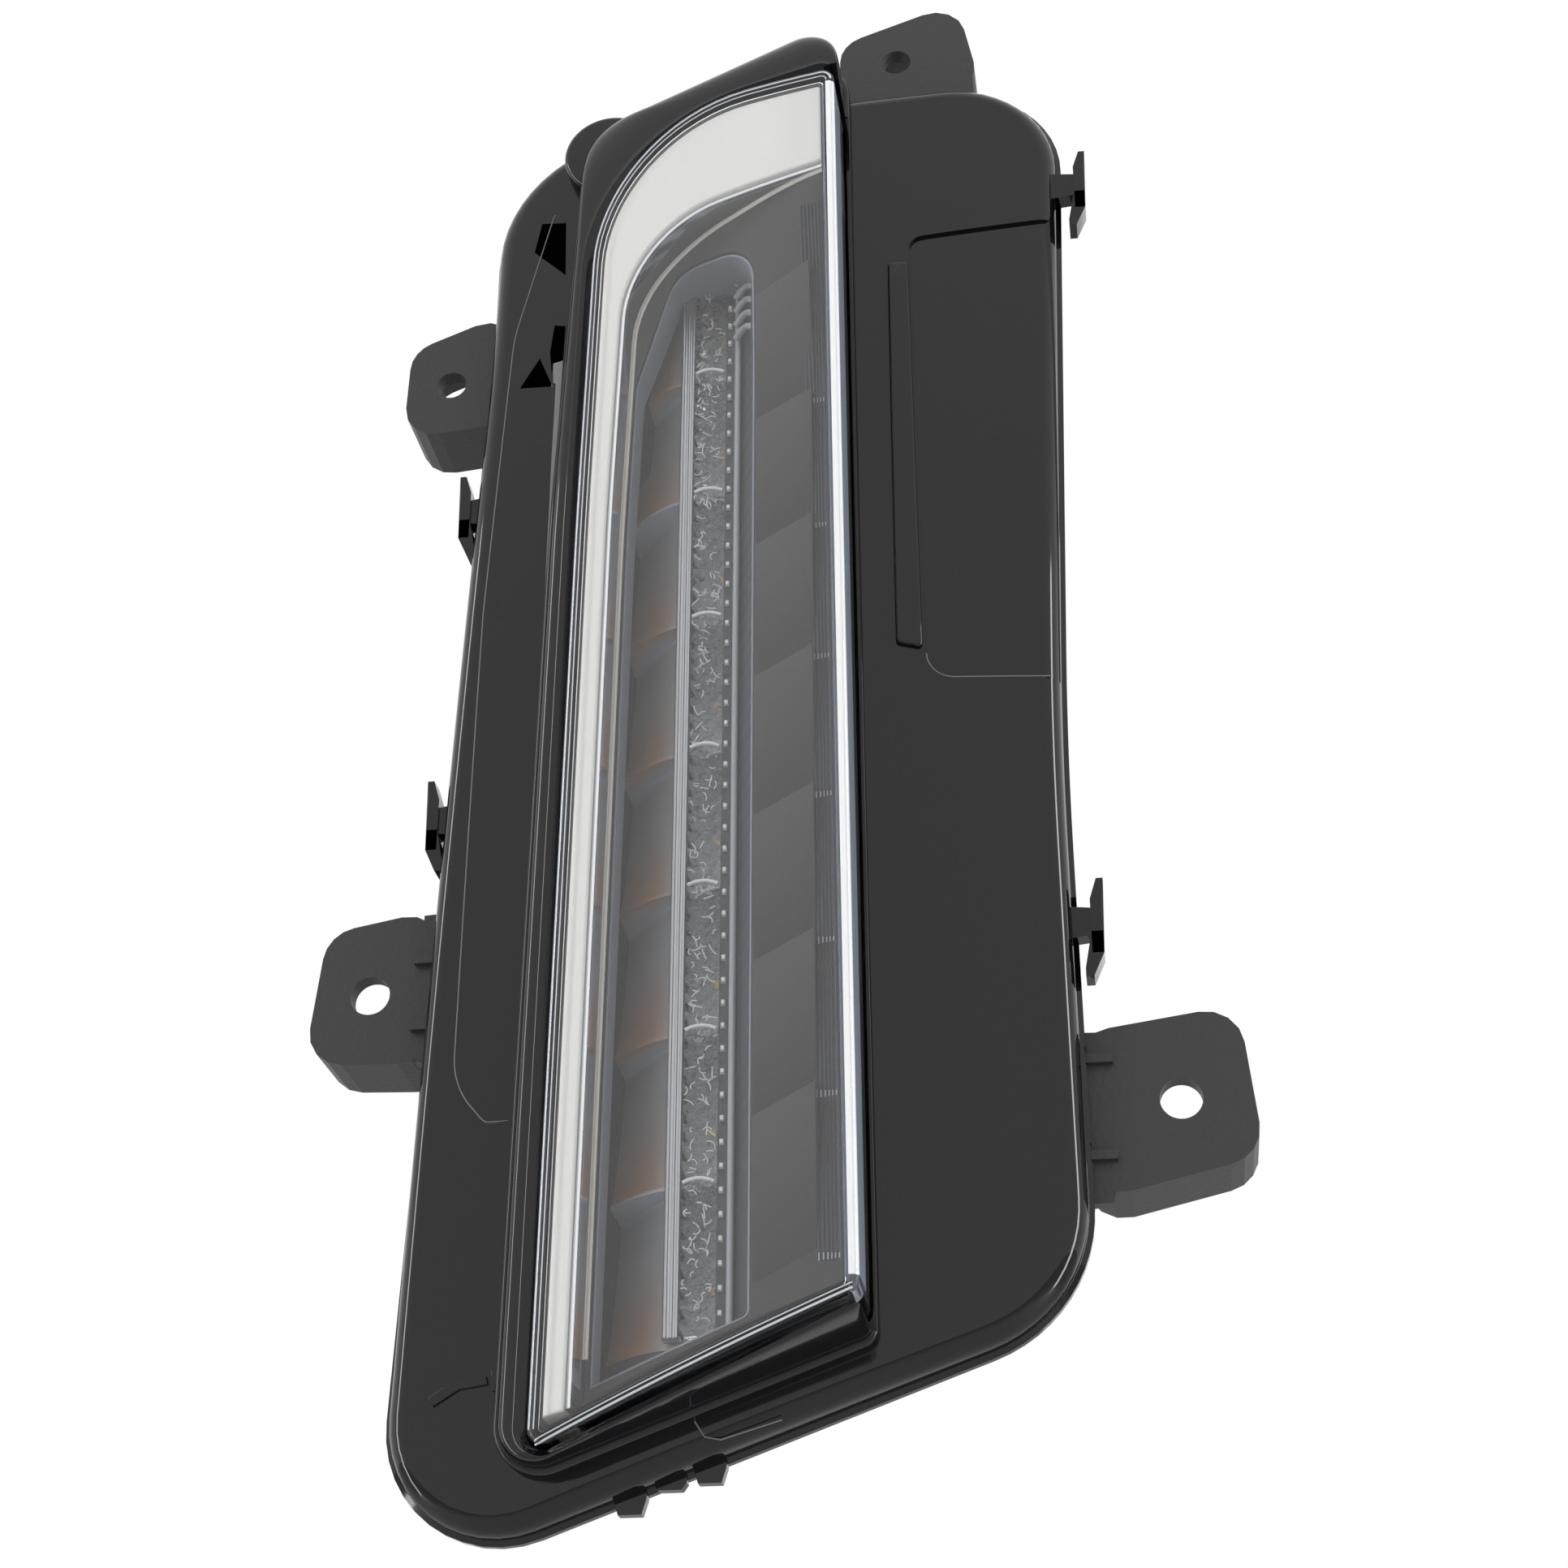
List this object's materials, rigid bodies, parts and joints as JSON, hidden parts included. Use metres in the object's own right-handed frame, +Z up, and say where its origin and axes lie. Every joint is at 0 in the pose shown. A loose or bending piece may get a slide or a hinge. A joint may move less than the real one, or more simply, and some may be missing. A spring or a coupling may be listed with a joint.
{
  "type": "daytime running light",
  "caption": "Tall bumper daytime running light: gloss black surround, proud clear lens over a row of reflector cells, white accent strip and moulded screw feet.",
  "frame": {"origin": "centre of the lower right foot's screw hole, on the foot's front face", "axes": "+X to the right as seen from the front of the vehicle, -Y out of the lamp's face (the way the screw leaves), +Z up along the lamp's length"},
  "size_m": [0.1638, 0.0709, 0.3121],
  "materials": {
    "gloss_black": "high gloss moulded",
    "clear_cover": "clear polished moulding",
    "sealant": "matte",
    "housing_black": "fine grained moulding",
    "inner_dark": "satin grained moulding",
    "pearl_white": "smooth satin",
    "bright_metal": "bright vapour coat",
    "reflector_grey": "soft vapour coat",
    "clear_optic": "clear textured moulding",
    "board_white": "solder mask",
    "package_white": "moulded",
    "phosphor_yellow": "phosphor",
    "screw_steel": "zinc plated",
    "pad_grey": "soft",
    "cast_aluminium": "die cast",
    "gasket_black": "matte",
    "board_green": "solder mask",
    "component_black": "moulded",
    "flex_amber": "film",
    "terminal_tin": "tin plated",
    "seal_orange": "silicone",
    "membrane_white": "fine mesh",
    "screw_black": "black zinc"
  },
  "bodies": {
    "root": {"bezel": "gloss_black", "outer_lens": "clear_cover", "lens_sealant": "sealant", "rear_housing": "housing_black", "inner_bezel": "inner_dark", "accent_strip": "pearl_white", "bright_trim": "bright_metal", "reflector": "reflector_grey", "inner_optic": "clear_optic", "led_board": "board_white", "led_packages": "package_white", "led_emitters": "phosphor_yellow", "led_board_screws": "screw_steel", "thermal_pad": "pad_grey", "heat_sink": "cast_aluminium", "heat_sink_gasket": "gasket_black", "heat_sink_screws": "screw_steel", "driver_board": "board_green", "driver_components": "component_black", "board_link": "flex_amber", "connector_socket": "housing_black", "connector_terminals": "terminal_tin", "connector_seal": "seal_orange", "vent_cap": "housing_black", "vent_membrane": "membrane_white", "bezel_screws": "screw_black", "inner_bezel_screws": "screw_black"}
  },
  "joints": []
}
